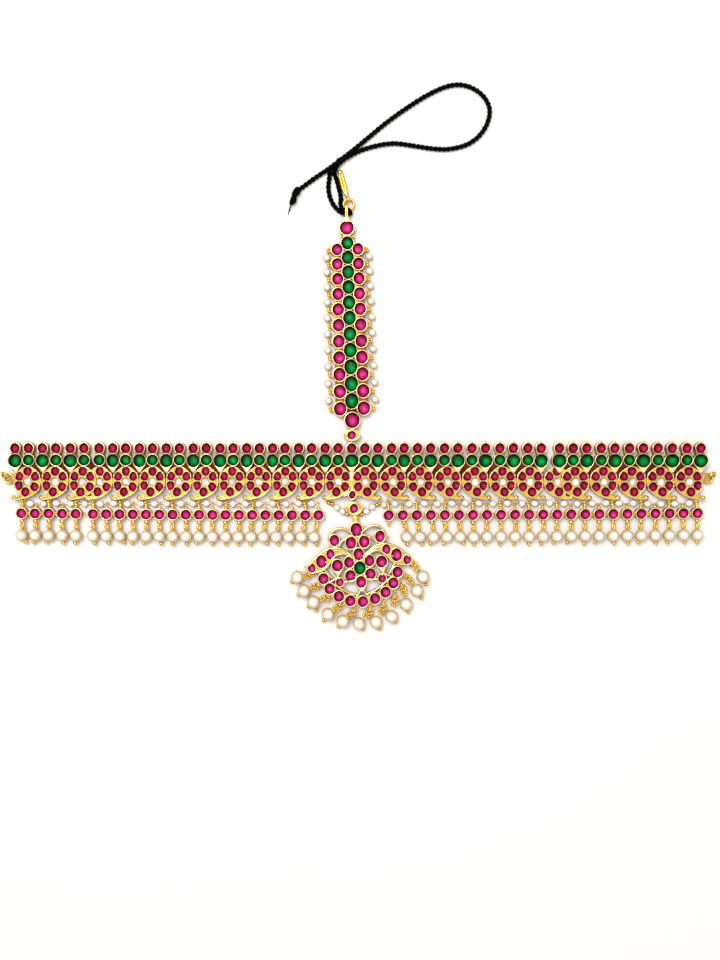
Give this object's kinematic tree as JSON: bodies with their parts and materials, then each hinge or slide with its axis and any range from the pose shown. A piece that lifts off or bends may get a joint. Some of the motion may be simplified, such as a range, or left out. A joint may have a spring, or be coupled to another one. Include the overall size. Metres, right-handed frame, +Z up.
{
  "type": "maang tikka with forehead band",
  "caption": "Temple-style head jewel: a stone-set strip and forehead band with a pearl fringe and a fan pendant, laid flat with its hook and tied cord.",
  "frame": {"origin": "middle of the jewel without its cord, on the surface that it lies on", "axes": "+X along the forehead band, +Y from the pendant to the hook, +Z up from the surface"},
  "size_m": [0.2874, 0.2198, 0.0052],
  "materials": {
    "gold": "polished gold plate",
    "pearl": "pearl lustre",
    "cord": "matt twisted thread"
  },
  "bodies": {
    "root": {"band_centre": "gold", "band_unit_left_02": "gold", "band_unit_left_03": "gold", "band_unit_left_04": "gold", "band_unit_left_05": "gold", "band_unit_left_06": "gold", "band_unit_left_07": "gold", "band_unit_left_08": "gold", "band_unit_left_09": "gold", "band_unit_left_10": "gold", "band_unit_left_11": "gold", "band_unit_left_12": "gold", "band_unit_left_13": "gold", "band_unit_right_02": "gold", "band_unit_right_03": "gold", "band_unit_right_04": "gold", "band_unit_right_05": "gold", "band_unit_right_06": "gold", "band_unit_right_07": "gold", "band_unit_right_08": "gold", "band_unit_right_09": "gold", "band_unit_right_10": "gold", "band_unit_right_11": "gold", "band_unit_right_12": "gold", "band_unit_right_13": "gold", "parting_strip": "gold", "hook_ring": "gold", "s_hook": "gold", "eye_link": "gold", "fringe_left": "gold", "fringe_right": "gold", "centre_drop": "gold", "pendant": "gold", "end_ring_left_1": "gold", "end_ring_left_2": "gold", "end_ring_right_1": "gold", "end_ring_right_2": "gold", "strip_pearls_left": "pearl", "strip_pearls_right": "pearl", "seed_pearl_string_left": "pearl", "seed_pearl_string_right": "pearl", "swag_left": "pearl", "swag_right": "pearl", "pendant_drop_01": "pearl", "pendant_drop_02": "pearl", "pendant_drop_03": "pearl", "pendant_drop_04": "pearl", "pendant_drop_05": "pearl", "pendant_drop_06": "pearl", "pendant_drop_07": "pearl", "pendant_drop_08": "pearl", "pendant_drop_09": "pearl", "pendant_drop_10": "pearl", "pendant_drop_11": "pearl", "cord_left_strand": "cord", "cord_right_strand": "cord", "cord_big_loop": "cord", "cord_tail": "cord", "cord_knot": "cord", "cord_end_knot": "cord"}
  },
  "joints": []
}
